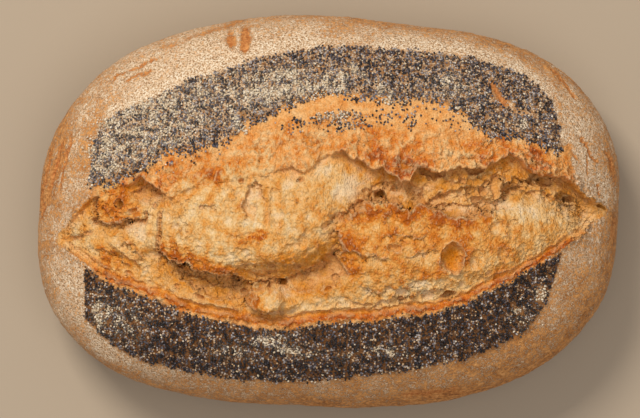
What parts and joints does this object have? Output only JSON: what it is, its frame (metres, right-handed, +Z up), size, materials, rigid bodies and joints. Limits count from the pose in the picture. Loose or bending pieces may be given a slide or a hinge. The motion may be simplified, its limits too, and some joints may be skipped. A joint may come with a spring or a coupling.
{
  "type": "bread loaf",
  "caption": "Oblong hearth loaf on a flat base, its floury crust topped with beds of poppy seeds and torn open along the top over a rough golden crumb.",
  "frame": {"origin": "centre of the loaf's footprint, on the surface it rests on", "axes": "+X towards the loaf's right end along its length, +Y towards its back, the side with the wider bed of seeds, +Z up"},
  "size_m": [0.262, 0.176, 0.0912],
  "materials": {
    "crust": "matt baked crust, floury tan on the rim and bare golden brown beside the tear",
    "crumb": "rough torn crumb, cream gold to orange brown where it is toasted",
    "poppy_seeds": "matt blue grey to black brown seeds, dusted with flour",
    "flour": "dry chalky cream flour"
  },
  "bodies": {
    "root": {"loaf": "crust"}
  },
  "joints": []
}
